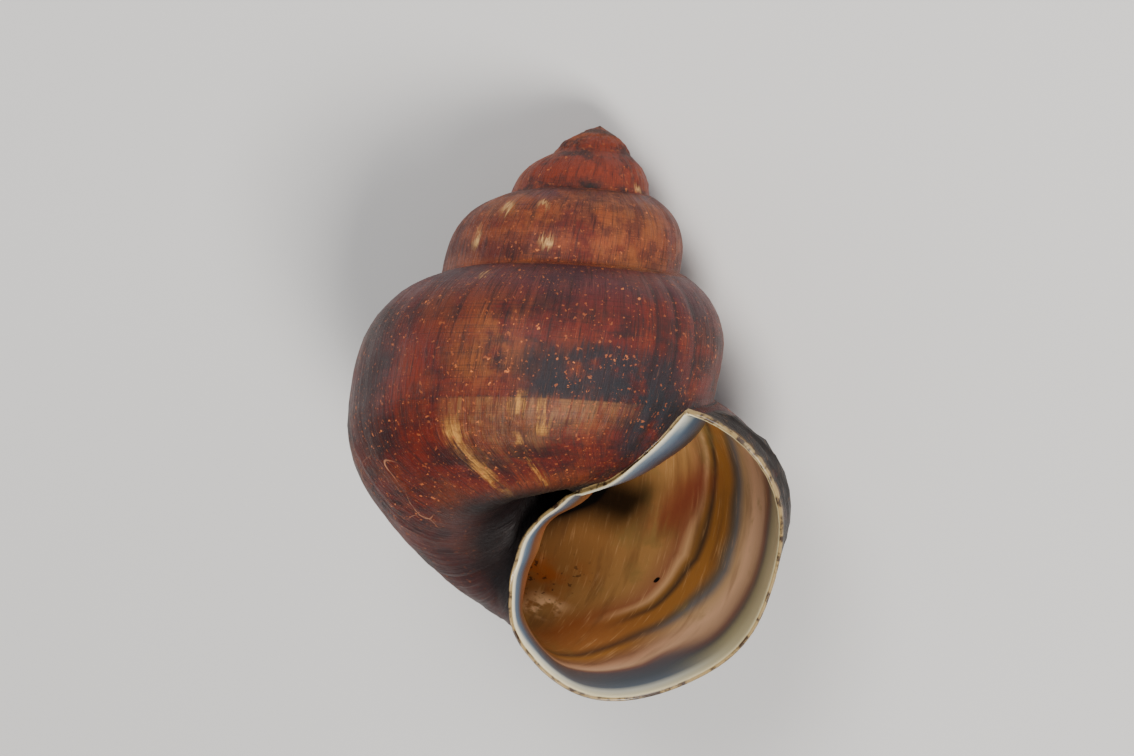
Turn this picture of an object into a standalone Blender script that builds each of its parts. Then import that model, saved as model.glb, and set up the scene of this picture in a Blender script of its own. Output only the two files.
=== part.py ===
"""A large right-handed freshwater snail shell, empty, lying on its back with the aperture up."""
import math

import bmesh
import bpy
from mathutils import Vector

for old in list(bpy.data.objects):
    bpy.data.objects.remove(old, do_unlink=True)

# Driving dimensions in metres. Growth is counted in turns: 0 at the lip, -1 one whorl earlier.
MM = 0.001
TUBE = 15.6 * MM                     # radius of the tube at the lip
REACH = 10.5 * MM                    # from the axis to the middle of the tube at the lip
DROP = 44.7 * MM                     # from the apex down to the middle of the tube at the lip
TUBE_RATES = (0.610, 0.146, 0.0214)  # logarithmic growth per turn, per turn squared, per turn cubed
REACH_RATES = (0.459, 0.148, 0.0907)
DROP_RATES = (0.569, 0.026, 0.0017)
OUTLINE = ((2, -0.054, 0.172), (3, -0.054, -0.100), (4, 0.044, 0.039), (5, -0.025, -0.019))
CORE_PULL = -0.18                    # how the tube flattens against the axis, in tube radii
CORE_BLEND = 0.564
CORE = 0.9 * MM                      # least radius of the umbilicus
CORE_SOFT = 0.6 * MM
SAG = 0.063                          # the last stretch of the whorl drops away from the suture
SAG_AT = 1.45
SAG_WIDTH = 0.46
WALL = 0.80 * MM
LIP_EDGE = 0.55 * MM
CALLUS = 0.25 * MM
CALLUS_FOOT = 0.75 * MM              # thicker where the callus runs into the columella

# The lip in turns ahead of turn 0, against the angle round the tube in degrees.
LIP_LEAD = ((76, 0.055), (60, 0.042), (20, -0.011), (-20, -0.042), (-60, -0.071),
            (-90, -0.096), (-120, -0.100), (-160, -0.105), (-180, 0.009), (-200, -0.002),
            (-216, 0.004), (-232, 0.0707))
PARIETAL_LEAD = ((-11, 0.055), (-31, 0.070), (-62, 0.078), (-90, 0.073), (-104, 0.0707))

# Turned so that it rests on the back of its last whorl, in degrees about X, Y and Z.
REST = (-120.2, 6.4, 0.8)

# The columellar lip leans out over the umbilicus, by angle round the tube in degrees and metres.
REFLECTED = ((-128, 0.0), (-141, 0.45 * MM), (-154, 1.19 * MM), (-167, 1.66 * MM), (-180, 1.51 * MM),
             (-193, 1.49 * MM), (-206, 2.24 * MM), (-219, 2.09 * MM), (-232, 0.27 * MM))
LEAN_WAY = (-0.75, -0.9, 0)
FOOT_DROP = 1.07 * MM                # the foot of the lip hangs a little under the whorl before
FOOT_REACH = 20                      # degrees over which that fades on the whorl before
CURL = 0.08                          # turns over which the lip's own shape fades backwards

# How finely the surfaces are stepped.
STEPS = 44                           # rows to the turn outside
SPIRE = 3.6                          # turns of separate whorls above the last
SHOULDER = 7                         # faces from the suture to the next whorl
BASE = 17                            # faces from there round the base into the umbilicus
CAVITY_STEPS = 24                    # rings to the turn inside
CAVITY = 2.4                         # turns that the hollow runs back from the lip
TIP = 0.7 * MM                       # rise of the spire's tip
PIT = 1.5 * MM                       # how far the umbilicus runs up


def follow(points, x):
    """A smooth curve through a short list of points, highest x first."""
    pairs = list(points)
    if x >= pairs[0][0]:
        return pairs[0][1]
    for k in range(len(pairs) - 1):
        (x0, y0), (x1, y1) = pairs[k], pairs[k + 1]
        if x >= x1:
            before = pairs[max(k - 1, 0)]
            after = pairs[min(k + 2, len(pairs) - 1)]
            m0 = (y1 - before[1]) / (x1 - before[0]) * (x1 - x0)
            m1 = (after[1] - y0) / (after[0] - x0) * (x1 - x0)
            u = (x - x0) / (x1 - x0)
            near = y0 * (1 + 2 * u) * (1 - u) ** 2 + m0 * u * (1 - u) ** 2
            return near + y1 * u * u * (3 - 2 * u) + m1 * u * u * (u - 1)
    return pairs[-1][1]


def tube(t):
    """Radius, distance from the axis and height of the tube's middle at t turns."""
    sizes = []
    for start, rates in ((TUBE, TUBE_RATES), (REACH, REACH_RATES), (DROP, DROP_RATES)):
        sizes.append(start * math.exp(sum(rate * t ** (n + 1) for n, rate in enumerate(rates))))
    return sizes[0], sizes[1], -sizes[2]


def roundness(psi):
    """Outline of the tube round its middle, in tube radii; psi runs from outward towards the apex."""
    return 1 + sum(c * math.cos(n * psi) + s * math.sin(n * psi) for n, c, s in OUTLINE)


def soft_floor(x, floor, blend):
    """x kept above a floor without a kink."""
    return floor + (x - floor + math.hypot(x - floor, blend)) / 2


def undo_floor(x, floor, blend):
    """The value that soft_floor turned into x."""
    above = max(x - floor, 1e-6)
    return floor + above - blend * blend / (4 * above)


def section(t, psi):
    """Point of the tube's outline: distance from the axis and height."""
    size, reach, height = tube(t)
    q = roundness(psi)
    ramp = min(max((t + 0.10) / 0.15, 0), 1.3)
    turn = (psi - SAG_AT + math.pi) % math.tau - math.pi
    q *= 1 - SAG * ramp ** 2 * math.exp(-(turn / SAG_WIDTH) ** 2)
    out = soft_floor(reach + size * q * math.cos(psi), CORE_PULL * size, CORE_BLEND * size)
    scale = size / TUBE
    return Vector((soft_floor(out, CORE * scale, CORE_SOFT * scale), height + size * q * math.sin(psi)))


def offset_section(t, psi, distance):
    """The outline moved outward by a distance, or inward where it is negative."""
    along = section(t, psi + 0.01) - section(t, psi - 0.01)
    return section(t, psi) + Vector((along.y, -along.x)).normalized() * distance


def clearance(t, point, swell):
    """How far a point of a section lies outside the whorl before it, which is swollen a little."""
    size, reach, height = tube(t - 1)
    x = undo_floor(point.x, CORE * size / TUBE, CORE_SOFT * size / TUBE)
    x = undo_floor(x, CORE_PULL * size, CORE_BLEND * size) - reach
    y = point.y - height
    return math.hypot(x, y) - size * roundness(math.atan2(y, x)) - swell


def meet(t, inner, inset=0.0, swell=0.0):
    """Angle at which the tube meets the whorl before it: by the suture, or on the inner side."""
    start, end = (-2.2, -4.6) if inner else (0.15, 2.2)
    count = 60
    last = start
    for k in range(1, count + 1):
        psi = start + (end - start) * k / count
        if clearance(t, offset_section(t, psi, -inset), swell) < 0:
            break
        last = psi
    low, high = last, psi
    for _ in range(30):
        middle = (low + high) / 2
        if clearance(t, offset_section(t, middle, -inset), swell) < 0:
            high = middle
        else:
            low = middle
    return (low + high) / 2


def place(t, point):
    """A point of a section at its turn round the axis; the shell is right-handed."""
    angle = -math.tau * t
    return Vector((point.x * math.cos(angle), point.x * math.sin(angle), point.y))


def lead(psi):
    """How far the lip runs ahead of turn 0 at an angle round the tube."""
    return follow(LIP_LEAD, math.degrees(psi))


SUTURE_LEAD = LIP_LEAD[0][1]
FOOT_LEAD = LIP_LEAD[-1][1]
LAST_JOIN = meet(SUTURE_LEAD, inner=False)
FOOT_ANGLE = meet(FOOT_LEAD, inner=True)
FOOT = section(FOOT_LEAD, FOOT_ANGLE)


def angle_on_previous(t, point):
    """Angle of a shared point on the whorl before."""
    size, reach, height = tube(t - 1)
    x = undo_floor(point.x, CORE * size / TUBE, CORE_SOFT * size / TUBE)
    return math.atan2(point.y - height, undo_floor(x, CORE_PULL * size, CORE_BLEND * size) - reach)


SHOULDER_END = angle_on_previous(SUTURE_LEAD, section(SUTURE_LEAD, LAST_JOIN))


def settle(t):
    """How much of the lip's slant a row has: none back on the shell, all of it at the lip."""
    u = min(max((t + 0.6) / 0.6, 0), 1)
    return u * u * (3 - 2 * u)


def suture(t):
    """Turn and section point of the seam with the whorl before."""
    at = t + SUTURE_LEAD * settle(t)
    return at, section(at, meet(at, inner=False))


def foot_angle(t):
    """Angle at which the inner wall of the tube passes the level of the lip's foot."""
    low, high = math.radians(-96), FOOT_ANGLE
    for _ in range(40):
        middle = (low + high) / 2
        if section(t, middle).y < FOOT.y:
            low = middle
        else:
            high = middle
    return (low + high) / 2


def lean(t, psi, previous=False):
    """How far a point near the lip is moved off the plain tube."""
    close = min(max(t / CURL + 1, 0), 1)
    close *= close * (3 - 2 * close)
    degrees = math.degrees(psi)
    if previous:
        foot = max(1 - (degrees - PARIETAL_LEAD[-1][0]) / FOOT_REACH, 0)
        foot = min(foot, 1) ** 2
        return (Vector(LEAN_WAY) * REFLECTED[-1][1] + Vector((0, 0, -FOOT_DROP))) * foot * close
    foot = min(max((REFLECTED[-2][0] - degrees) / (REFLECTED[-2][0] - REFLECTED[-1][0]), 0), 1) ** 2
    return (Vector(LEAN_WAY) * follow(REFLECTED, degrees) + Vector((0, 0, -FOOT_DROP * foot))) * close


def row(step):
    """Points of one growth line outside, from the suture down, and round the base on the last whorl."""
    t = step / STEPS
    top_turn, top = suture(t)
    top_angle = meet(top_turn, inner=False)
    if step < -STEPS:
        next_turn, next_top = suture(t + 1)
        side_angle = angle_on_previous(next_turn, next_top)
        side_shift = next_turn - 1 - t
    else:
        side_angle = SHOULDER_END
        side_shift = -t * SUTURE_LEAD
    points = [place(top_turn, top)]
    for k in range(1, SHOULDER + 1):
        u = k / SHOULDER
        psi = top_angle + (side_angle - top_angle) * u
        shift = lead(psi) * settle(t) + side_shift * u * (1 - settle(t))
        points.append(place(t + shift, section(t + shift, psi)))
    if step < -STEPS:
        points[-1] = place(next_turn - 1, next_top)
        return points
    if step == -STEPS:
        points[-1] = place(SUTURE_LEAD - 1, section(SUTURE_LEAD, LAST_JOIN))
    foot_turn = t + FOOT_LEAD * (settle(t) - t * (1 - settle(t)))
    end = foot_angle(foot_turn)
    for k in range(1, BASE + 1):
        psi = side_angle + (end - side_angle) * k / BASE
        shift = lead(psi) * settle(t) - t * follow(PARIETAL_LEAD, math.degrees(psi)) * (1 - settle(t))
        point = place(t + shift, section(t + shift, psi)) + lean(t, psi)
        if step < -STEPS + 4:
            point += lean((-STEPS - step) / STEPS, psi, previous=True)
        points.append(point)
    if step in (-STEPS, 0):
        points[-1] = place(FOOT_LEAD, FOOT) + lean(0, math.radians(REFLECTED[-1][0]))
    return points


def ring(t, inset, callus, foot_callus):
    """Points round the hollow: along the tube's own wall, then back over the whorl before."""
    top_turn = t + SUTURE_LEAD
    foot_turn = t + FOOT_LEAD
    top_angle = meet(top_turn, False, inset, callus)
    end_angle = meet(foot_turn, True, inset, foot_callus)
    points = []
    for k in range(SHOULDER + BASE + 1):
        if k <= SHOULDER:
            psi = top_angle + (SHOULDER_END - top_angle) * k / SHOULDER
        else:
            psi = SHOULDER_END + (end_angle - SHOULDER_END) * (k - SHOULDER) / BASE
        turn = t + lead(psi)
        if k == 0:
            turn = top_turn
        if k == SHOULDER + BASE:
            turn = foot_turn
        points.append(place(turn, offset_section(turn, psi, -inset)) + lean(t, psi))
    start = angle_on_previous(foot_turn, offset_section(foot_turn, end_angle, -inset))
    end = angle_on_previous(top_turn, offset_section(top_turn, top_angle, -inset))
    for k in range(1, BASE):
        u = k / BASE
        psi = start + (end - start) * u
        turn = t - 1 + follow(PARIETAL_LEAD, math.degrees(psi))
        thick = foot_callus + (callus - foot_callus) * min(u * 2, 1)
        points.append(place(turn, offset_section(turn, psi, thick)) + lean(t, psi, previous=True))
    return points


def grow(bm, edges, verts, points):
    """Extrudes a row of edges and moves its new vertices to their places; gives the new row."""
    made = bmesh.ops.extrude_edge_only(bm, edges=edges)["geom"]
    new = {item for item in made if isinstance(item, bmesh.types.BMVert)}
    moved = []
    for vert, point in zip(verts, points):
        twin = next(edge.other_vert(vert) for edge in vert.link_edges if edge.other_vert(vert) in new)
        twin.co = point
        moved.append(twin)
    return moved


def edges_along(verts, closed=False):
    """The edges from each vertex of a row to the next."""
    ends = list(zip(verts, verts[1:]))
    if closed:
        ends.append((verts[-1], verts[0]))
    return [next(edge for edge in a.link_edges if edge.other_vert(a) is b) for a, b in ends]


def draw(bm, points, start=None):
    """A chain of new vertices, joined to a first one where it is given."""
    chain = [start] if start else []
    for point in points:
        vert = bm.verts.new(point)
        if chain:
            bm.edges.new((chain[-1], vert))
        chain.append(vert)
    return chain


def lid(bm, edges, rise):
    """Closes a loop of edges with faces round a middle point, which is then moved."""
    face = bmesh.ops.edgeloop_fill(bm, edges=edges)["faces"]
    middle = bmesh.ops.poke(bm, faces=face)["verts"][0]
    middle.co += rise
    return middle


# The outside grows line by line from the spire; the base joins in on the last whorl.
bm = bmesh.new()
first = -round((SPIRE + 1) * STEPS)
rows = {first: draw(bm, row(first))}
for step in range(first + 1, 1):
    points = row(step)
    line = rows[step - 1]
    rows[step] = grow(bm, edges_along(line), line, points)
    if step == -STEPS:
        rows[step] += draw(bm, points[SHOULDER + 1:], start=rows[step][-1])[1:]

# Each whorl is welded to the one before it along the suture, and the lip to its own foot.
seam = {rows[step][0]: rows[step - STEPS][SHOULDER] for step in range(first + STEPS, 1)}
seam[rows[0][-1]] = rows[-STEPS][-1]
bmesh.ops.weld_verts(bm, targetmap=seam)

# The tip of the spire and the floor of the umbilicus.
tip = [rows[step][0] for step in range(first, first + STEPS)] + rows[first][SHOULDER:0:-1]
lid(bm, edges_along(tip, closed=True), Vector((0, 0, TIP)))
pit = [rows[step][-1] for step in range(-STEPS, 0)]
lid(bm, edges_along(pit, closed=True), Vector((0, 0, PIT)))

# The lip's rounded edge, then the hollow, ring by ring, and its blind end.
line = [rows[-STEPS][SHOULDER]] + rows[0][1:-1] + rows[-STEPS][:SHOULDER:-1]
turns = [0.0, -0.012, -0.03, -0.055]
while turns[-1] > -CAVITY:
    turns.append(turns[-1] - 1 / CAVITY_STEPS)
for count, t in enumerate(turns):
    scale = tube(t)[0] / TUBE
    if count == 0:
        points = ring(t, LIP_EDGE, CALLUS, CALLUS_FOOT)
    else:
        points = ring(t, WALL * scale, CALLUS * scale, CALLUS_FOOT * scale)
    line = grow(bm, edges_along(line, closed=True), line, points)
lid(bm, edges_along(line, closed=True), Vector())
bmesh.ops.recalc_face_normals(bm, faces=bm.faces)

mesh = bpy.data.meshes.new("shell")
bm.to_mesh(mesh)
bm.free()
mesh.shade_smooth()
mesh.set_sharp_from_angle(angle=math.radians(40))

paint = bpy.data.materials.new("periostracum")
paint.use_nodes = True
surface = paint.node_tree.nodes["Principled BSDF"]
surface.inputs["Base Color"].default_value = (0.080, 0.028, 0.018, 1)
surface.inputs["Roughness"].default_value = 0.35
surface.inputs["Metallic"].default_value = 0.0
mesh.materials.append(paint)

# It lies on its back, at rest, with the spire towards +Y and a little down.
shell = bpy.data.objects.new("shell", mesh)
bpy.context.scene.collection.objects.link(shell)
shell.rotation_euler = [math.radians(angle) for angle in REST]
bpy.context.view_layer.update()
placed = [shell.matrix_world @ vert.co for vert in mesh.vertices]
low = Vector(min(co[axis] for co in placed) for axis in range(3))
high = Vector(max(co[axis] for co in placed) for axis in range(3))
shell.location = (-(low.x + high.x) / 2, -(low.y + high.y) / 2, -low.z)
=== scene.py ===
import math

import bmesh
import bpy
from mathutils import Matrix, Vector, noise


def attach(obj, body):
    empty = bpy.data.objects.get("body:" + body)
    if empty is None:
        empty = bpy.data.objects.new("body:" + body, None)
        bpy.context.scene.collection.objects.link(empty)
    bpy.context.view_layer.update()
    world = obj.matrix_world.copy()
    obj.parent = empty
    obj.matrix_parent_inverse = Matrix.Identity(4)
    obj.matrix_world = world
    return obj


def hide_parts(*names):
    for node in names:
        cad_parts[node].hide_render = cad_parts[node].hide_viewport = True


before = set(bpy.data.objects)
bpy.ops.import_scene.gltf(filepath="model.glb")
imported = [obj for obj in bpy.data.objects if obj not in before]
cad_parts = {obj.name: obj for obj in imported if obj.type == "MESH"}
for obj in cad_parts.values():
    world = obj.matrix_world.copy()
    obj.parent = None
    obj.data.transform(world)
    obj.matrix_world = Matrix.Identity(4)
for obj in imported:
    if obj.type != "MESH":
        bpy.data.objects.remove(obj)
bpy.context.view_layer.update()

# The shell's growth.
# A mystery snail's shell is one piece of calcium carbonate under a thin horny skin. The animal
# adds to it only at the lip, so its form is a tube that widens as it winds down a straight axis.
MM = 0.001
TUBE = 15.6 * MM                     # radius of the tube at the lip; turn 0 is the lip, -1 a whorl back
REACH = 10.5 * MM                    # from the axis to the middle of the tube at the lip
DROP = 44.7 * MM                     # from the spire's tip down to the middle of the tube
TUBE_RATES = (0.610, 0.146, 0.0214)  # logarithmic growth per turn, per turn squared, per turn cubed
REACH_RATES = (0.459, 0.148, 0.0907)
DROP_RATES = (0.569, 0.026, 0.0017)
OUTLINE = ((2, -0.054, 0.172), (3, -0.054, -0.100), (4, 0.044, 0.039), (5, -0.025, -0.019))
CORE_PULL = -0.18                    # how the tube flattens against the axis, in tube radii
CORE_BLEND = 0.564
CORE = 0.9 * MM                      # least radius of the umbilicus
CORE_SOFT = 0.6 * MM
SAG = 0.063                          # the last stretch of the whorl drops away from the suture
SAG_AT = 1.45
SAG_WIDTH = 0.46


def follow(points, x):
    """A smooth curve through a short list of points, highest x first."""
    if x >= points[0][0]:
        return points[0][1]
    for k in range(len(points) - 1):
        (x0, y0), (x1, y1) = points[k], points[k + 1]
        if x >= x1:
            before = points[max(k - 1, 0)]
            after = points[min(k + 2, len(points) - 1)]
            m0 = (y1 - before[1]) / (x1 - before[0]) * (x1 - x0)
            m1 = (after[1] - y0) / (after[0] - x0) * (x1 - x0)
            u = (x - x0) / (x1 - x0)
            near = y0 * (1 + 2 * u) * (1 - u) ** 2 + m0 * u * (1 - u) ** 2
            return near + y1 * u * u * (3 - 2 * u) + m1 * u * u * (u - 1)
    return points[-1][1]


def ease(u):
    """0 to 1 without a kink at either end."""
    u = min(max(u, 0), 1)
    return u * u * (3 - 2 * u)


def tube(t):
    """Radius, distance from the axis and height of the tube's middle at t turns."""
    sizes = []
    for start, rates in ((TUBE, TUBE_RATES), (REACH, REACH_RATES), (DROP, DROP_RATES)):
        sizes.append(start * math.exp(sum(rate * t ** (n + 1) for n, rate in enumerate(rates))))
    return sizes[0], sizes[1], -sizes[2]


def roundness(psi):
    """Outline of the tube round its middle, in tube radii; psi runs from outward towards the tip."""
    return 1 + sum(c * math.cos(n * psi) + s * math.sin(n * psi) for n, c, s in OUTLINE)


def soft_floor(x, floor, blend):
    """x kept above a floor without a kink."""
    return floor + (x - floor + math.hypot(x - floor, blend)) / 2


def undo_floor(x, floor, blend):
    """The value that soft_floor turned into x."""
    above = max(x - floor, 1e-6)
    return floor + above - blend * blend / (4 * above)


def section(t, psi):
    """Point of the tube's outline: distance from the axis and height."""
    size, reach, height = tube(t)
    q = roundness(psi)
    ramp = min(max((t + 0.10) / 0.15, 0), 1.3)
    turn = (psi - SAG_AT + math.pi) % math.tau - math.pi
    q *= 1 - SAG * ramp ** 2 * math.exp(-(turn / SAG_WIDTH) ** 2)
    out = soft_floor(reach + size * q * math.cos(psi), CORE_PULL * size, CORE_BLEND * size)
    scale = size / TUBE
    return Vector((soft_floor(out, CORE * scale, CORE_SOFT * scale), height + size * q * math.sin(psi)))


def offset_section(t, psi, distance):
    """The outline moved outward by a distance, or inward where it is negative."""
    along = section(t, psi + 0.01) - section(t, psi - 0.01)
    return section(t, psi) + Vector((along.y, -along.x)).normalized() * distance


def on_previous(t, point):
    """A point of a section as the whorl before sees it: distance from its middle, and angle."""
    size, reach, height = tube(t - 1)
    x = undo_floor(point.x, CORE * size / TUBE, CORE_SOFT * size / TUBE)
    x = undo_floor(x, CORE_PULL * size, CORE_BLEND * size) - reach
    y = point.y - height
    angle = math.atan2(y, x)
    return math.hypot(x, y) - size * roundness(angle), angle


def meet(t, inner, inset=0.0, swell=0.0):
    """Angle at which the tube meets the whorl before it: by the suture, or on the inner side."""
    start, end = (-2.2, -4.6) if inner else (0.15, 2.2)
    last = start
    for k in range(1, 41):
        psi = start + (end - start) * k / 40
        if on_previous(t, offset_section(t, psi, -inset))[0] < swell:
            break
        last = psi
    low, high = last, psi
    for _ in range(22):
        middle = (low + high) / 2
        if on_previous(t, offset_section(t, middle, -inset))[0] < swell:
            high = middle
        else:
            low = middle
    return (low + high) / 2


def place(t, point):
    """A point of a section at its turn round the axis; the shell is right-handed."""
    angle = -math.tau * t
    return Vector((point.x * math.cos(angle), point.x * math.sin(angle), point.y))


# The lip's course.
# The lip is the newest shell, a slanting oval edge. Its top runs ahead on the whorl before, its
# pillar side hangs back and leans out over the umbilicus, and its foot stands on the base.
LIP_LEAD = ((76, 0.055), (60, 0.042), (20, -0.011), (-20, -0.042), (-60, -0.071),
            (-90, -0.096), (-120, -0.100), (-160, -0.105), (-180, 0.009), (-200, -0.002),
            (-216, 0.004), (-232, 0.0707))
PARIETAL_LEAD = ((-11, 0.055), (-31, 0.070), (-62, 0.078), (-90, 0.073), (-104, 0.0707))
REFLECTED = ((-128, 0.0), (-141, 0.45 * MM), (-154, 1.19 * MM), (-167, 1.66 * MM), (-180, 1.51 * MM),
             (-193, 1.49 * MM), (-206, 2.24 * MM), (-219, 2.09 * MM), (-232, 0.27 * MM))
LEAN_WAY = Vector((-0.75, -0.9, 0))
FOOT_DROP = Vector((0, 0, -1.07 * MM))
FOOT_REACH = 20
CURL = 0.08
SUTURE_LEAD = LIP_LEAD[0][1]
FOOT_LEAD = LIP_LEAD[-1][1]
LIP_BACK = 0.0022                    # the skin ends this far behind the crest of the lip, in turns


def lead(psi):
    """How far the lip runs ahead of turn 0 at an angle round the tube."""
    return follow(LIP_LEAD, math.degrees(psi))


def lean(t, psi, previous=False):
    """How far a point near the lip is moved off the plain tube."""
    close = ease(t / CURL + 1)
    degrees = math.degrees(psi)
    if previous:
        foot = min(max(1 - (degrees - PARIETAL_LEAD[-1][0]) / FOOT_REACH, 0), 1) ** 2
        return (LEAN_WAY * REFLECTED[-1][1] + FOOT_DROP) * foot * close
    foot = min(max((REFLECTED[-2][0] - degrees) / (REFLECTED[-2][0] - REFLECTED[-1][0]), 0), 1) ** 2
    return (LEAN_WAY * follow(REFLECTED, degrees) + FOOT_DROP * foot) * close


FOOT_ANGLE = meet(FOOT_LEAD, inner=True)
FOOT = section(FOOT_LEAD, FOOT_ANGLE)
SHOULDER_END = on_previous(SUTURE_LEAD, section(SUTURE_LEAD, meet(SUTURE_LEAD, inner=False)))[1]


def settle(t):
    """How much of the lip's slant a row has: none back on the shell, all of it at the lip."""
    return ease((t + 0.6) / 0.6)


def suture(t):
    """Turn, angle and section point of the seam with the whorl before."""
    at = t + SUTURE_LEAD * settle(t)
    angle = meet(at, inner=False)
    return at, angle, section(at, angle)


def foot_angle(t):
    """Angle at which the inner wall of the tube passes the level of the lip's foot."""
    low, high = math.radians(-96), FOOT_ANGLE
    for _ in range(30):
        middle = (low + high) / 2
        if section(t, middle).y < FOOT.y:
            low = middle
        else:
            high = middle
    return (low + high) / 2


# The relief of the skin.
# Each rest in the animal's growth leaves a line or a low ridge that follows the lip. Old whorls
# are dented and pitted, and the newest shell behind the lip is a frayed, swollen fringe.
UNDER = 0.13 * MM                    # the relief lies this much inside the plain form
LINES = 0.045 * MM
RIDGES = 0.10 * MM
DENTS = 0.14 * MM
KEEL = 0.06 * MM
KEEL_AT = -11.5                      # degrees round the tube
KEEL_WIDTH = 1.6
PITTING = 0.10 * MM                  # of the oldest whorls
FRINGE = 0.80 * MM
FRINGE_BACK = 0.026                  # how far behind the lip it is highest, in turns
FRINGE_WIDTH = 0.017
REST_DEPTH = 0.12 * MM
RESTS = ((-0.885, 0.006), (-0.908, 0.005), (-0.938, 0.007), (-0.30, 0.006),
         (-0.16, 0.008), (-0.42, 0.005))     # turn and half width of each rest in growth


def relief(t, psi):
    """Height of the skin above the plain tube, in metres."""
    degrees = math.degrees(psi)
    size = tube(t)[0] / TUBE
    fine = noise.noise(Vector((t * 190, psi * 0.8, 3.1)))
    fine += 0.6 * noise.noise(Vector((t * 420, psi * 1.1, 7.7)))
    broad = noise.noise(Vector((t * 55, psi * 0.9, 1.3)))
    dent = noise.fractal(Vector((t * 14, psi * 2.2, 5.0)), 0.7, 2.0, 3)
    height = LINES * fine + RIDGES * max(broad, -0.3) * 0.7 + DENTS * dent * size - UNDER
    height += KEEL * math.exp(-((degrees - KEEL_AT) / KEEL_WIDTH) ** 2)
    for rest, width in RESTS:
        height -= REST_DEPTH * math.exp(-((t - rest) / width) ** 2)
    old = ease((-2.2 - t) / 1.2)
    height += old * PITTING * noise.fractal(Vector((t * 30, psi * 7, 9.0)), 0.6, 2.1, 3)
    fringe = math.exp(-((t - lead(psi) + FRINGE_BACK) / FRINGE_WIDTH) ** 2)
    fringe *= ease((degrees - 8) / 30) * ease((82 - degrees) / 14)
    height += FRINGE * fringe * (0.9 + 0.55 * noise.noise(Vector((t * 340, psi * 9, 2.0))))
    return height


# The skin is grown line by line, as the animal lays it down, from the spire to the lip.
STEPS = 420
SPIRE = 3.6
SHOULDER = 16
BASE = 64
TIP = 0.7 * MM
PIT = 1.5 * MM


def skin_point(t, psi, fade):
    """A vertex of the skin and what its colours are read from."""
    return place(t, offset_section(t, psi, relief(t, psi) * fade)), t, psi


def row(step):
    """One growth line outside, from the suture down, and round the base on the last whorl."""
    t = step / STEPS if step < 0 else -LIP_BACK
    top_turn, top_angle, top = suture(t)
    if step <= -STEPS:
        next_turn, _, next_top = suture(t + 1 if step < -STEPS else -LIP_BACK)
        side_angle = on_previous(next_turn, next_top)[1]
        side_shift = next_turn - 1 - t
    else:
        side_angle = SHOULDER_END
        side_shift = -t * SUTURE_LEAD
    points = [(place(top_turn, top), top_turn, top_angle)]
    below = ease((t + 1) * 25)
    for k in range(1, SHOULDER + 1):
        u = k / SHOULDER
        psi = top_angle + (side_angle - top_angle) * u
        at = t + lead(psi) * settle(t) + side_shift * u * (1 - settle(t))
        fade = ease(u * 6) * (below + (1 - below) * ease((1 - u) * 6))
        points.append(skin_point(at, psi, fade))
    if step <= -STEPS:
        points[-1] = (place(next_turn - 1, next_top), next_turn - 1, side_angle)
    if step < -STEPS:
        return points
    foot_turn = t + FOOT_LEAD * (settle(t) - t * (1 - settle(t)))
    end = foot_angle(foot_turn)
    for k in range(1, BASE + 1):
        u = k / BASE
        psi = side_angle + (end - side_angle) * u
        at = t + lead(psi) * settle(t) - t * follow(PARIETAL_LEAD, math.degrees(psi)) * (1 - settle(t))
        fade = (below + (1 - below) * ease(u * 12)) * ease((1 - u) * 6)
        point, at, psi = skin_point(at, psi, fade)
        point += lean(t, psi)
        if t < -1 + CURL:
            point += lean(-1 - t, psi, previous=True)
        points.append((point, at, psi))
    if step in (-STEPS, 0):
        points[-1] = (place(FOOT_LEAD, FOOT) + lean(0, math.radians(REFLECTED[-1][0])), t + FOOT_LEAD, end)
    return points


shell = bmesh.new()
SKIN = 0                             # places of the two finishes in the material list
LINING = 1
TURN = shell.verts.layers.float.new("turn")
ROUND = shell.verts.layers.float.new("round")
BEHIND = shell.verts.layers.float.new("behind")


def settle_vert(vert, place_on_shell, behind):
    """Puts a vertex at its place and writes down where on the shell that is."""
    vert.co = place_on_shell[0]
    vert[TURN] = place_on_shell[1]
    vert[ROUND] = math.degrees(place_on_shell[2])
    vert[BEHIND] = behind


def grow(edges, verts, points, behind, finish):
    """Extrudes a row of edges and moves its new vertices to their places; gives the new row."""
    made = bmesh.ops.extrude_edge_only(shell, edges=edges)["geom"]
    for item in made:
        if isinstance(item, bmesh.types.BMFace):
            item.material_index = finish
    new = {item for item in made if isinstance(item, bmesh.types.BMVert)}
    moved = []
    for vert, point in zip(verts, points):
        twin = next(edge.other_vert(vert) for edge in vert.link_edges if edge.other_vert(vert) in new)
        settle_vert(twin, point, behind)
        moved.append(twin)
    return moved


def edges_along(verts, closed=False):
    """The edges from each vertex of a row to the next."""
    ends = list(zip(verts, verts[1:]))
    if closed:
        ends.append((verts[-1], verts[0]))
    return [next(edge for edge in a.link_edges if edge.other_vert(a) is b) for a, b in ends]


def draw(points, start=None):
    """A chain of new vertices, joined to a first one where it is given."""
    chain = [start] if start else []
    for point in points:
        vert = shell.verts.new(point[0])
        settle_vert(vert, point, -1.0)
        if chain:
            shell.edges.new((chain[-1], vert))
        chain.append(vert)
    return chain


def lid(edges, rise):
    """Closes a loop of edges with faces round a middle point, which is then moved."""
    face = bmesh.ops.edgeloop_fill(shell, edges=edges)["faces"]
    edge_vert = face[0].verts[0]
    values = (edge_vert[TURN], edge_vert[ROUND], edge_vert[BEHIND])
    middle = bmesh.ops.poke(shell, faces=face)["verts"][0]
    middle.co += rise
    middle[TURN], middle[ROUND], middle[BEHIND] = values


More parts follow.
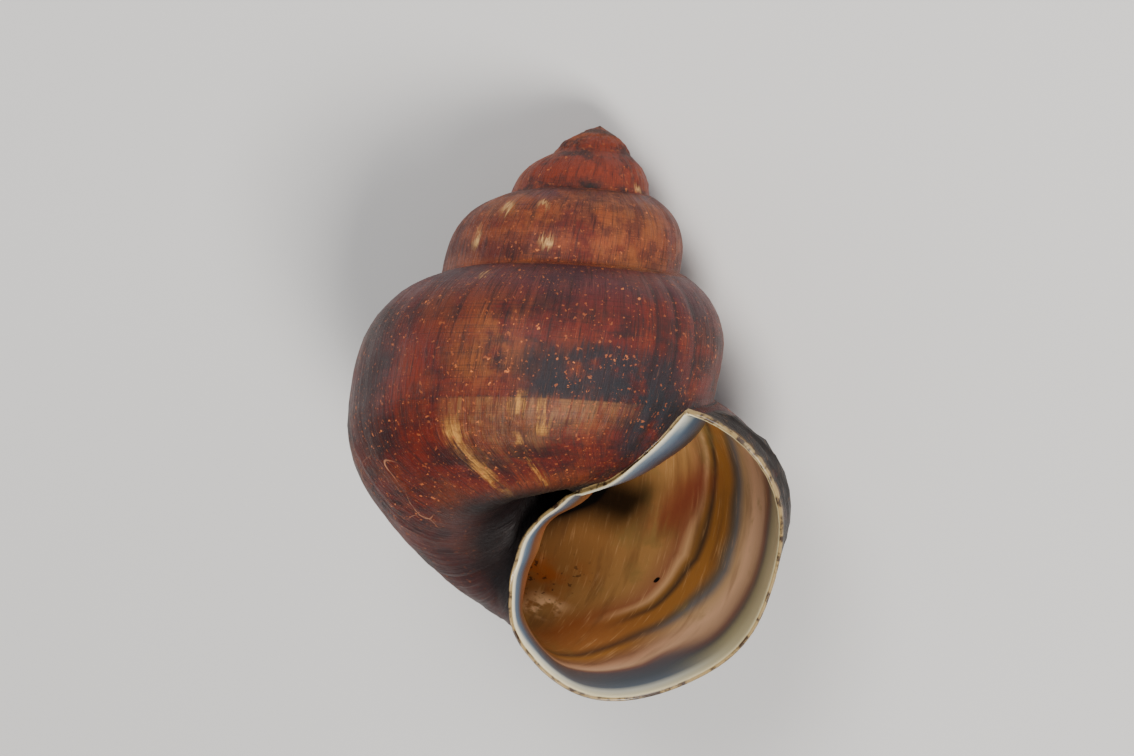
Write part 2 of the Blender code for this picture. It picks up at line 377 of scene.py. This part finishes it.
first = -round((SPIRE + 1) * STEPS)
rows = {first: draw(row(first))}
for step in range(first + 1, 1):
    points = row(step)
    line = rows[step - 1]
    behind = step / STEPS - LIP_BACK
    rows[step] = grow(edges_along(line), line, points, behind, SKIN)
    if step == -STEPS:
        rows[step] += draw(points[SHOULDER + 1:], start=rows[step][-1])[1:]
seam = {rows[step][0]: rows[step - STEPS][SHOULDER] for step in range(first + STEPS, 1)}
seam[rows[0][-1]] = rows[-STEPS][-1]
bmesh.ops.weld_verts(shell, targetmap=seam)
tip = [rows[step][0] for step in range(first, first + STEPS)] + rows[first][SHOULDER:0:-1]
lid(edges_along(tip, closed=True), Vector((0, 0, TIP)))
lid(edges_along([rows[step][-1] for step in range(-STEPS, 0)], closed=True), Vector((0, 0, PIT)))

# The lip and the lining.
# The lip's rounded edge turns into the smooth inner layer of the shell, which runs back over the
# tube's own wall, and as a thin glaze, the callus, over the whorl before.
WALL = 0.80 * MM
CALLUS = 0.25 * MM
CALLUS_FOOT = 0.75 * MM
CAVITY = 2.4
LIP_ROUND = ((-0.0008, 0.08 * MM, 0.10), (0.0, 0.22 * MM, 0.25), (0.0, 0.38 * MM, 0.5),
             (-0.0010, 0.52 * MM, 0.8), (-0.004, 0.62 * MM, 1.0), (-0.009, 0.72 * MM, 1.0),
             (-0.016, 0.80 * MM, 1.0))
OUTER_HALF = 0.34 * MM               # the crust covers the lip's edge this far in
SWELL = 0.07 * MM


def lining(t, psi):
    """The low waves that old lips have left in the lining."""
    return SWELL * noise.noise(Vector((t * 30, psi * 0.5, 4.0))) * ease(-t * 30)


def ring(t, inset, callus, foot_callus):
    """Points round the hollow: along the tube's own wall, then back over the whorl before."""
    top_turn = t + SUTURE_LEAD
    foot_turn = t + FOOT_LEAD
    top_angle = meet(top_turn, False, inset, callus)
    end_angle = meet(foot_turn, True, inset, foot_callus)
    points = []
    for k in range(SHOULDER + BASE + 1):
        if k <= SHOULDER:
            psi = top_angle + (SHOULDER_END - top_angle) * k / SHOULDER
        else:
            psi = SHOULDER_END + (end_angle - SHOULDER_END) * (k - SHOULDER) / BASE
        at = {0: top_turn, SHOULDER + BASE: foot_turn}.get(k, t + lead(psi))
        points.append((place(at, offset_section(at, psi, -inset + lining(t, psi))) + lean(t, psi), at, psi))
    start = on_previous(foot_turn, offset_section(foot_turn, end_angle, -inset))[1]
    end = on_previous(top_turn, offset_section(top_turn, top_angle, -inset))[1]
    for k in range(1, BASE):
        u = k / BASE
        psi = start + (end - start) * u
        at = t - 1 + follow(PARIETAL_LEAD, math.degrees(psi))
        thick = foot_callus + (callus - foot_callus) * min(u * 2, 1)
        point = place(at, offset_section(at, psi, thick)) + lean(t, psi, previous=True)
        points.append((point, at, psi - 4 * math.pi))
    return points


line = [rows[-STEPS][SHOULDER]] + rows[0][1:-1] + rows[-STEPS][:SHOULDER:-1]
for t, inset, thick in LIP_ROUND:
    points = ring(t, inset, CALLUS * thick, CALLUS_FOOT * thick)
    outer = max(OUTER_HALF - inset, 0) * 8
    line = grow(edges_along(line, closed=True), line, points, -t - outer, LINING)
t = LIP_ROUND[-1][0]
while t > -CAVITY:
    t -= 1 / 150 if t > -0.55 else 1 / 40
    scale = tube(t)[0] / TUBE
    points = ring(t, WALL * scale, CALLUS * scale, CALLUS_FOOT * scale)
    line = grow(edges_along(line, closed=True), line, points, -t, LINING)
lid(edges_along(line, closed=True), Vector())
bmesh.ops.recalc_face_normals(shell, faces=shell.faces)

# It lies on its back, at rest, with the spire towards +Y and a little down.
REST = [math.radians(angle) for angle in (-120.2, 6.4, 0.8)]
LIES_AT = Vector((-4.831 * MM, 26.799 * MM, 3.906 * MM))
turned = Matrix.Rotation(REST[2], 4, "Z") @ Matrix.Rotation(REST[1], 4, "Y")
turned = turned @ Matrix.Rotation(REST[0], 4, "X")
bmesh.ops.transform(shell, matrix=Matrix.Translation(LIES_AT) @ turned, verts=shell.verts)

mesh = bpy.data.meshes.new("shell_look")
shell.to_mesh(mesh)
shell.free()
mesh.shade_smooth()
shell_look = bpy.data.objects.new("shell_look", mesh)
bpy.context.scene.collection.objects.link(shell_look)
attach(shell_look, "root")
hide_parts("shell")

# Skin and lining finishes.
# The skin is a horny brown layer, streaked along its growth lines, rubbed tan and stained blue-black
# in places. The lining is porcelain-smooth, cream and blue-grey at the lip and amber further in.


def tint(red, green, blue):
    """A colour as the eye gives it, 0 to 255, for the shader."""
    parts = [c / 255 for c in (red, green, blue)]
    linear = [c / 12.92 if c < 0.04 else ((c + 0.055) / 1.055) ** 2.4 for c in parts]
    return (*linear, 1)


class Finish:
    """One material and the short ways to lay one colour or pattern over another in it."""

    def __init__(self, name):
        self.material = bpy.data.materials.new(name)
        self.material.use_nodes = True
        self.tree = self.material.node_tree
        self.surface = self.tree.nodes["Principled BSDF"]

    def feed(self, socket, value):
        if isinstance(value, bpy.types.NodeSocket):
            self.tree.links.new(value, socket)
        else:
            socket.default_value = value

    def add(self, kind, values, out=0, **settings):
        node = self.tree.nodes.new(kind)
        for name, value in settings.items():
            setattr(node, name, value)
        for socket, value in values.items():
            self.feed(node.inputs[socket], value)
        return node.outputs[out]

    def value(self, name):
        return self.add("ShaderNodeAttribute", {}, out="Fac", attribute_name=name)

    def sum(self, a, b):
        return self.add("ShaderNodeMath", {0: a, 1: b}, operation="ADD")

    def times(self, a, b):
        return self.add("ShaderNodeMath", {0: a, 1: b}, operation="MULTIPLY")

    def strong(self, a, low, high):
        """0 below low, 1 above high, and smooth between."""
        values = {0: a, 1: low, 2: high, 3: 0.0, 4: 1.0}
        return self.add("ShaderNodeMapRange", values, interpolation_type="SMOOTHSTEP")

    def within(self, a, low, high, soft):
        """1 between low and high, fading over a soft distance at both."""
        return self.times(self.strong(a, low - soft, low + soft), self.strong(a, high + soft, high - soft))

    def near(self, a, middle, reach):
        """1 at a middle value, falling to 0 within a reach."""
        away = self.add("ShaderNodeMath", {0: self.sum(a, -middle)}, operation="ABSOLUTE")
        return self.strong(away, reach, 0.0)

    def grain(self, turn, turns, angle, degrees, detail=3.0, rough=0.55, seed=0.0):
        """Noise drawn out along the growth lines: features to the turn, and to the degree round it."""
        spread = {0: self.times(turn, turns), 1: self.times(angle, degrees), 2: seed}
        where = self.add("ShaderNodeCombineXYZ", spread)
        values = {"Vector": where, "Scale": 1.0, "Detail": detail, "Roughness": rough}
        return self.add("ShaderNodeTexNoise", values)

    def blotch(self, scale, detail=3.0, rough=0.55, seed=0.0):
        """Noise that is the same in all directions; scale is in features to the metre."""
        place_on = self.add("ShaderNodeTexCoord", {}, out="Object")
        moved = self.add("ShaderNodeMapping", {"Vector": place_on, "Location": (seed, 0, 0)})
        values = {"Vector": moved, "Scale": scale, "Detail": detail, "Roughness": rough}
        return self.add("ShaderNodeTexNoise", values)

    def lay(self, below, above, amount, mode="MIX"):
        """One colour over another by an amount."""
        values = {0: amount, 6: below, 7: above}
        return self.add("ShaderNodeMix", values, out=2, data_type="RGBA", blend_type=mode)

    def ramp(self, value, stops):
        """A run of colours along a value."""
        node = self.tree.nodes.new("ShaderNodeValToRGB")
        self.feed(node.inputs[0], value)
        band = node.color_ramp
        band.elements[0].position, band.elements[0].color = stops[0]
        band.elements[1].position, band.elements[1].color = stops[-1]
        for position, colour in stops[1:-1]:
            band.elements.new(position).color = colour
        return node.outputs[0]

    def bump(self, height, distance, strength, under=None):
        values = {"Height": height, "Distance": distance, "Strength": strength}
        if under:
            values["Normal"] = under
        return self.add("ShaderNodeBump", values)


skin = Finish("horny_skin")
turn = skin.value("turn")
angle = skin.value("round")
behind = skin.value("behind")
slanted = skin.sum(turn, skin.times(skin.strong(angle, -30, -92), 0.05))
hair = skin.grain(slanted, 900, angle, 0.05, detail=4.0, rough=0.7, seed=1.0)
lines = skin.grain(slanted, 260, angle, 0.035, detail=4.0, rough=0.65, seed=2.0)
bands = skin.grain(slanted, 60, angle, 0.02, detail=3.0, seed=3.0)
threads = skin.grain(slanted, 9, angle, 1.3, detail=4.0, rough=0.7, seed=5.0)
cloud = skin.grain(slanted, 16, angle, 0.05, detail=5.0, rough=0.65, seed=4.0)
mottle = skin.blotch(300, detail=6.0, rough=0.7)
broad = skin.blotch(110, detail=5.0, rough=0.6, seed=3.0)
ragged = skin.sum(slanted, skin.times(skin.sum(lines, -0.5), 0.045))
worn_angle = skin.sum(angle, skin.times(skin.sum(lines, -0.5), 34.0))

# Deep red-brown, purple-brown in clouds, golden-brown where the layer is thin.
colour = skin.lay(tint(86, 21, 11), tint(42, 12, 13), skin.strong(cloud, 0.42, 0.60))
colour = skin.lay(colour, tint(112, 50, 18), skin.times(skin.strong(broad, 0.50, 0.66), 0.6))
colour = skin.lay(colour, tint(112, 46, 20), skin.times(skin.strong(bands, 0.54, 0.72), 0.5))
colour = skin.lay(colour, tint(70, 36, 44), skin.times(skin.within(angle, 44, 80, 14), 0.55))
gold = skin.times(skin.near(ragged, -0.735, 0.055), skin.within(angle, -6, 36, 16))
gold = skin.times(gold, skin.times(skin.strong(mottle, 0.40, 0.62), 0.75))
colour = skin.lay(colour, tint(126, 70, 30), gold)
glow = skin.sum(skin.times(skin.near(ragged, -0.665, 0.045), skin.within(angle, -46, 30, 14)),
                skin.times(skin.near(ragged, -0.880, 0.028), skin.within(angle, 10, 52, 10)))
glow = skin.times(glow, skin.times(skin.strong(mottle, 0.36, 0.62), 0.8))
colour = skin.lay(colour, tint(104, 28, 6), glow)
side = skin.times(skin.near(ragged, -0.600, 0.05), skin.within(angle, -40, 40, 12))
colour = skin.lay(colour, tint(40, 8, 5), skin.times(side, 0.85))

# Older whorls: tan and orange-brown, and redder at the spire.
third = skin.within(ragged, -2.02, -1.02, 0.02)
colour = skin.lay(colour, tint(124, 56, 24), skin.times(third, skin.strong(cloud, 0.36, 0.60)))
amber = skin.times(skin.strong(broad, 0.48, 0.64), 0.65)
colour = skin.lay(colour, tint(128, 72, 32), skin.times(third, amber))
umber = skin.times(skin.strong(mottle, 0.46, 0.62), 0.8)
colour = skin.lay(colour, tint(74, 28, 20), skin.times(third, umber))
spire = skin.strong(turn, -1.98, -2.1)
colour = skin.lay(colour, tint(124, 44, 20), skin.times(spire, 0.8))
amber = skin.times(skin.strong(broad, 0.48, 0.62), 0.7)
colour = skin.lay(colour, tint(150, 78, 36), skin.times(spire, amber))
colour = skin.lay(colour, tint(64, 28, 24), skin.times(spire, skin.strong(mottle, 0.50, 0.64)))

# The blue-black stain above the keel line, and behind the lip's foot.
stain = skin.sum(skin.times(skin.within(ragged, -0.925, -0.770, 0.022), skin.within(worn_angle, -13, 18, 7)),
                 skin.times(skin.within(ragged, -0.975, -0.875, 0.015), skin.within(worn_angle, -52, -8, 9)))
stain = skin.times(stain, skin.strong(mottle, 0.30, 0.52))
colour = skin.lay(colour, tint(25, 26, 32), skin.times(stain, 0.92))

# Below the keel line the skin is rubbed through to tan, in a wedge of streaks along the growth lines.
room = skin.sum(skin.sum(worn_angle, skin.times(slanted, 250.0)), 237.5)
rubbed = skin.times(skin.within(ragged, -0.880, -0.700, 0.012), skin.strong(angle, -10.8, -12.6))
rubbed = skin.times(rubbed, skin.strong(room, -12, 16))
streaky = skin.times(skin.strong(lines, 0.36, 0.62), skin.strong(mottle, 0.36, 0.60))
colour = skin.lay(colour, tint(100, 62, 34), skin.times(rubbed, 0.30))
colour = skin.lay(colour, tint(126, 82, 44), skin.times(rubbed, streaky))
streaks = skin.sum(skin.times(skin.near(ragged, -0.708, 0.013), skin.within(angle, -90, -26, 6)),
                   skin.times(skin.near(ragged, -0.768, 0.0065), skin.within(angle, -80, -9, 4)))
streaks = skin.sum(streaks, skin.times(skin.near(ragged, -0.792, 0.006), skin.within(angle, -34, -12, 4)))
colour = skin.lay(colour, tint(176, 122, 54), skin.times(streaks, skin.strong(mottle, 0.40, 0.60)))

# Growth lines, threads that run round the whorls, dark rests in growth, and painted shade along the suture.
colour = skin.lay(colour, tint(34, 16, 15), skin.times(skin.strong(lines, 0.50, 0.66), 0.62))
colour = skin.lay(colour, tint(28, 14, 14), skin.times(skin.strong(hair, 0.50, 0.68), 0.58))
colour = skin.lay(colour, tint(30, 16, 16), skin.times(skin.strong(threads, 0.50, 0.66), 0.45))
colour = skin.lay(colour, tint(186, 112, 64), skin.times(skin.strong(hair, 0.40, 0.26), 0.32))
rests = skin.sum(skin.near(turn, -0.909, 0.004), skin.near(turn, -0.938, 0.005))
rests = skin.sum(skin.near(turn, -0.885, 0.005), rests)
rests = skin.times(rests, skin.within(angle, 2, 60, 10))
colour = skin.lay(colour, tint(28, 14, 16), skin.times(rests, 0.75))
keel = skin.times(skin.near(angle, -11.2, 0.8), skin.strong(turn, -1.0, -0.97))
keel = skin.times(keel, skin.times(skin.strong(lines, 0.40, 0.60), 0.7))
colour = skin.lay(colour, tint(34, 20, 20), keel)
# Painted shade: darker on both sides of the suture, in the crease where one whorl meets the next.
suture_shade = skin.times(skin.strong(angle, 68, 77), skin.strong(turn, -4.3, -4.0))
suture_shade = skin.sum(suture_shade, skin.times(skin.strong(angle, -1.0, -8.0), skin.strong(turn, -0.99, -1.01)))
colour = skin.lay(colour, tint(26, 15, 15), skin.times(suture_shade, 0.75))

# Specks of bare shell, cream scars on the older whorls, and pale scratches low on the side.
gather = skin.strong(skin.blotch(150, detail=2.0, seed=6.0), 0.42, 0.60)
specks = skin.times(skin.strong(skin.blotch(1900, detail=2.0, rough=0.5, seed=2.0), 0.672, 0.712), gather)
colour = skin.lay(colour, tint(196, 108, 54), skin.times(specks, 0.8))
dust = skin.strong(skin.blotch(2600, detail=1.0, seed=8.0), 0.66, 0.72)
colour = skin.lay(colour, tint(150, 78, 40), skin.times(dust, 0.6))
SCARS = ((-1.673, 47, 0.014, 9), (-1.728, 49, 0.012, 5), (-1.644, 22, 0.010, 11),
         (-1.75, 20, 0.014, 6), (-2.93, 28, 0.020, 5), (-0.70, 58, 0.006, 4))
for scar_turn, scar_angle, wide, high in SCARS:
    scar = skin.times(skin.near(ragged, scar_turn, wide), skin.near(worn_angle, scar_angle, high))
    colour = skin.lay(colour, tint(196, 150, 90), skin.times(scar, skin.strong(mottle, 0.40, 0.56)))
bruise = skin.times(skin.near(ragged, -2.792, 0.05), skin.near(worn_angle, 24, 14))
colour = skin.lay(colour, tint(30, 26, 26), skin.times(bruise, skin.strong(mottle, 0.36, 0.52)))
scratch = skin.near(skin.blotch(95, detail=1.0, seed=7.0), 0.52, 0.004)
scratch = skin.sum(scratch, skin.near(skin.blotch(130, detail=1.0, seed=4.0), 0.47, 0.004))
flank = skin.times(skin.within(turn, -0.62, -0.50, 0.02), skin.within(angle, -92, -40, 8))
scratch = skin.times(scratch, flank)
colour = skin.lay(colour, tint(190, 130, 92), skin.times(scratch, skin.strong(mottle, 0.40, 0.60)))

# The base is darker, with painted shade near black by the umbilicus, and the fringe behind the lip is frayed
# brown-black.
colour = skin.lay(colour, tint(46, 28, 28), skin.times(skin.strong(angle, -70, -100), 0.7))
# Painted shade: the umbilicus and the base by the lip's foot go near black, where shadow falls in the
# hollow.
hollow = skin.times(skin.strong(angle, -74, -94), skin.strong(turn, -0.60, -0.70))
hollow = skin.add("ShaderNodeMath", {0: hollow, 1: skin.strong(angle, -100, -124)}, operation="MAXIMUM")
colour = skin.lay(colour, tint(14, 10, 10), skin.times(hollow, 0.9))
fringe = skin.strong(behind, -0.085, -0.035)
colour = skin.lay(colour, tint(26, 19, 17), skin.times(fringe, skin.strong(mottle, 0.20, 0.42)))
flakes = skin.times(skin.strong(hair, 0.54, 0.68), skin.strong(skin.blotch(900, seed=11.0), 0.46, 0.60))
colour = skin.lay(colour, tint(128, 92, 62), skin.times(fringe, flakes))
crust = skin.strong(behind, -0.0085, -0.0040)
chalk = skin.strong(skin.blotch(1700, seed=5.0), 0.34, 0.52)
colour = skin.lay(colour, tint(104, 74, 38), skin.times(crust, chalk))
peat = skin.strong(skin.blotch(620, detail=5.0, rough=0.7, seed=4.0), 0.44, 0.56)
colour = skin.lay(colour, tint(20, 15, 13), skin.times(crust, peat))
skin.feed(skin.surface.inputs["Base Color"], colour)
dull = skin.add("ShaderNodeMapRange", {0: mottle, 1: 0.3, 2: 0.7, 3: 0.40, 4: 0.60})
skin.feed(skin.surface.inputs["Roughness"], dull)
skin.surface.inputs["Specular IOR Level"].default_value = 0.24
skin.surface.inputs["Coat Weight"].default_value = 0.05
skin.surface.inputs["Coat Roughness"].default_value = 0.35
under = skin.bump(lines, 0.00016, 0.60)
under = skin.bump(hair, 0.00009, 0.60, under)
under = skin.bump(threads, 0.00006, 0.40, under)
skin.feed(skin.surface.inputs["Normal"], skin.bump(mottle, 0.00012, 0.45, under))

nacre = Finish("lining")
behind = nacre.value("behind")
angle = nacre.value("round")
turn = nacre.value("turn")
wave = nacre.grain(turn, 70, angle, 0.02, detail=4.0, seed=6.0)
silk = nacre.grain(turn, 420, angle, 0.05, detail=4.0, rough=0.65, seed=8.0)
smear = nacre.blotch(170, detail=5.0, rough=0.6)
wander = nacre.sum(nacre.blotch(60, detail=2.0, seed=2.0), -0.5)
depth = nacre.sum(behind, nacre.times(nacre.times(wander, 0.05), nacre.strong(behind, 0.01, 0.06)))
upper = nacre.add("ShaderNodeMath", {0: angle, 1: 0.0}, operation="MAXIMUM")
depth = nacre.times(nacre.sum(depth, nacre.times(upper, -0.0008)), 4.0)

# Bands along the growth lines, from the lip inward; each side of the tube has its own run.
CREAM = tint(206, 192, 150)
MILK = tint(196, 194, 178)
SLATE = tint(82, 96, 112)
OCHRE = tint(128, 84, 38)
TAN = tint(146, 106, 60)
UMBER = tint(96, 62, 32)
ROSE = tint(184, 144, 110)
PLUM = tint(112, 82, 72)
INK = tint(58, 44, 32)
outer_side = nacre.ramp(depth, (
    (0.0, CREAM), (0.055, tint(188, 180, 142)), (0.125, tint(146, 142, 112)),
    (0.165, tint(88, 84, 80)), (0.195, PLUM), (0.235, tint(160, 126, 98)), (0.300, ROSE),
    (0.360, tint(156, 124, 88)), (0.400, tint(88, 84, 80)), (0.425, tint(86, 70, 52)),
    (0.455, OCHRE), (0.500, OCHRE), (0.522, INK), (0.545, tint(122, 84, 42)),
    (0.566, tint(176, 134, 92)), (0.590, tint(130, 84, 56)), (0.650, TAN),
    (0.720, tint(140, 100, 56)), (0.810, tint(118, 80, 42)), (1.0, UMBER)))
low_side = nacre.ramp(depth, (
    (0.0, CREAM), (0.040, MILK), (0.072, tint(98, 108, 118)), (0.140, tint(84, 90, 96)),
    (0.215, tint(84, 78, 80)), (0.240, PLUM), (0.265, ROSE), (0.295, tint(166, 124, 94)),
    (0.330, tint(118, 82, 58)), (0.385, OCHRE), (0.420, tint(72, 48, 32)),
    (0.460, tint(126, 80, 40)), (0.600, tint(120, 68, 34)), (0.720, TAN),
    (0.800, tint(132, 84, 44)), (1.0, UMBER)))
pillar_side = nacre.ramp(depth, (
    (0.0, CREAM), (0.020, tint(190, 182, 160)), (0.045, SLATE), (0.110, tint(70, 84, 98)),
    (0.170, tint(86, 54, 34)), (0.320, tint(112, 58, 26)), (0.600, tint(124, 70, 32)), (1.0, UMBER)))
# The callus run is cream and blue-grey at the lip, then ends near black deep inside: painted shade of the
# deep tube behind the parietal lip.
callus = nacre.ramp(depth, (
    (0.0, CREAM), (0.014, tint(192, 188, 170)), (0.040, tint(106, 122, 136)),
    (0.110, tint(66, 82, 100)), (0.240, tint(52, 54, 60)), (0.420, tint(36, 28, 24)),
    (1.0, tint(20, 14, 10))))
colour = nacre.lay(outer_side, low_side, nacre.strong(angle, -22, -62))
colour = nacre.lay(colour, pillar_side, nacre.strong(angle, -112, -150))
colour = nacre.lay(colour, callus, nacre.strong(angle, -300, -400))
corner = nacre.times(nacre.strong(angle, -752, -736), nacre.strong(angle, -500, -700))
colour = nacre.lay(colour, MILK, nacre.times(corner, nacre.times(nacre.strong(behind, 0.026, 0.006), 0.7)))

# Stains of the living animal further in: brown smears, olive, wine by the top, orange low down.
inside = nacre.strong(behind, 0.04, 0.09)
smears = nacre.times(nacre.strong(wave, 0.50, 0.70), 0.45)
colour = nacre.lay(colour, tint(78, 50, 30), nacre.times(inside, smears))
sheen = nacre.times(nacre.strong(silk, 0.54, 0.74), 0.40)
colour = nacre.lay(colour, tint(186, 144, 98), nacre.times(inside, sheen))
olive = nacre.times(nacre.strong(smear, 0.54, 0.68), 0.55)
colour = nacre.lay(colour, tint(106, 88, 48), nacre.times(inside, olive))
wine = nacre.times(nacre.near(behind, 0.168, 0.030), nacre.within(angle, 6, 36, 8))
wine = nacre.times(wine, nacre.times(nacre.strong(wave, 0.36, 0.56), 0.75))
colour = nacre.lay(colour, tint(112, 48, 34), wine)
rust = nacre.times(nacre.strong(behind, 0.17, 0.21), nacre.within(angle, -84, -26, 12))
rust = nacre.times(rust, nacre.times(nacre.strong(smear, 0.36, 0.58), 0.8))
colour = nacre.lay(colour, tint(132, 62, 20), rust)
pale = nacre.times(nacre.near(behind, 0.193, 0.026), nacre.within(angle, -68, -50, 4))
pale = nacre.times(pale, nacre.strong(nacre.blotch(420, detail=4.0, seed=3.0), 0.40, 0.50))
colour = nacre.lay(colour, tint(214, 168, 120), nacre.times(pale, 0.9))
freckles = nacre.strong(nacre.blotch(1500, detail=2.0, seed=9.0), 0.62, 0.68)
freckles = nacre.times(freckles, nacre.within(angle, -56, -22, 10))
freckles = nacre.times(freckles, nacre.times(nacre.strong(behind, 0.16, 0.21), 0.8))
colour = nacre.lay(colour, tint(34, 20, 12), freckles)

# The tube's own wall is brightened behind the lip, where little of the studio light reaches.
BRIGHTER = (1.50, 1.52, 1.60, 1)
own_wall = nacre.times(nacre.strong(behind, 0.03, 0.09), nacre.strong(angle, -500, -300))
colour = nacre.lay(colour, BRIGHTER, own_wall, "MULTIPLY")

# A black dot, the dark where the tube turns out of the light, and the crust on the lip's edge.
dot = nacre.times(nacre.near(behind, 0.1430, 0.0022), nacre.near(angle, -16, 2.2))
colour = nacre.lay(colour, tint(10, 8, 8), nacre.strong(dot, 0.05, 0.25))
shade = nacre.times(nacre.strong(behind, 0.176, 0.203), nacre.within(angle, 2, 26, 10))
shade = nacre.sum(shade, nacre.times(nacre.strong(behind, 0.222, 0.250), nacre.strong(angle, -24, 0)))
colour = nacre.lay(colour, tint(8, 6, 5), nacre.times(shade, 0.95))
crust = nacre.strong(behind, 0.0009, 0.0000)
colour = nacre.lay(colour, tint(120, 92, 44), nacre.times(crust, 0.85))
peat = nacre.strong(nacre.blotch(620, detail=5.0, rough=0.7, seed=4.0), 0.46, 0.58)
colour = nacre.lay(colour, tint(52, 34, 20), nacre.times(crust, peat))
nacre.feed(nacre.surface.inputs["Base Color"], colour)
nacre.surface.inputs["Roughness"].default_value = 0.28
nacre.surface.inputs["Specular IOR Level"].default_value = 0.40
nacre.surface.inputs["Coat Weight"].default_value = 0.20
nacre.surface.inputs["Coat Roughness"].default_value = 0.15
nacre.feed(nacre.surface.inputs["Normal"], nacre.bump(silk, 0.00008, 0.30))

mesh.materials.append(skin.material)
mesh.materials.append(nacre.material)

# Floor, light and camera.
# A pale studio table under two large soft lights, with a weaker one at each side; the camera looks
# down on the shell along the line of sight of the photograph.
bpy.ops.mesh.primitive_plane_add(size=3.0, location=(0, 0, 0))
floor = bpy.context.active_object
floor.name = "floor"
table_top = bpy.data.materials.new("table_top")
table_top.use_nodes = True
table_top.node_tree.nodes["Principled BSDF"].inputs["Base Color"].default_value = (0.62, 0.61, 0.60, 1)
table_top.node_tree.nodes["Principled BSDF"].inputs["Roughness"].default_value = 0.8
floor.data.materials.append(table_top)

sky = bpy.data.worlds.new("studio")
sky.use_nodes = True
sky.node_tree.nodes["Background"].inputs["Color"].default_value = (0.92, 0.95, 1.0, 1)
sky.node_tree.nodes["Background"].inputs["Strength"].default_value = 0.35
bpy.context.scene.world = sky


def soft_light(name, at, size, power, colour=(1, 1, 1)):
    """A large square lamp that faces the shell."""
    lamp = bpy.data.lights.new(name, "AREA")
    lamp.size = size
    lamp.energy = power
    lamp.color = colour
    holder = bpy.data.objects.new(name, lamp)
    holder.location = at
    holder.rotation_euler = (Vector((0, 0, 0.015)) - Vector(at)).to_track_quat("-Z", "Y").to_euler()
    bpy.context.scene.collection.objects.link(holder)


soft_light("key", (-0.02, 0.62, 0.62), 0.40, 5.5, (1.0, 0.98, 0.95))
soft_light("mouth_light", (0.46, -0.12, 0.66), 0.30, 8.5, (1.0, 0.97, 0.92))
soft_light("left_edge", (-0.75, 0.05, 0.12), 0.35, 1.6, (0.93, 0.95, 1.0))
soft_light("right_edge", (0.70, 0.55, 0.16), 0.40, 2.5, (0.93, 0.95, 1.0))

camera = bpy.data.cameras.new("camera")
camera.sensor_width = 36.0
camera.lens = 142.86
camera.clip_start = 0.01
eye = bpy.data.objects.new("camera", camera)
toward = Vector((0.3642, 0.3944, 0.8437)).normalized()
picture_up = Vector((-0.2036, 0.9177, -0.3411))
across = picture_up.cross(toward).normalized()
look = Matrix((across, toward.cross(across), toward)).transposed().to_4x4()
look.translation = Vector((0.16014, 0.17901, 0.39215))
eye.matrix_world = look
bpy.context.scene.collection.objects.link(eye)
bpy.context.scene.camera = eye
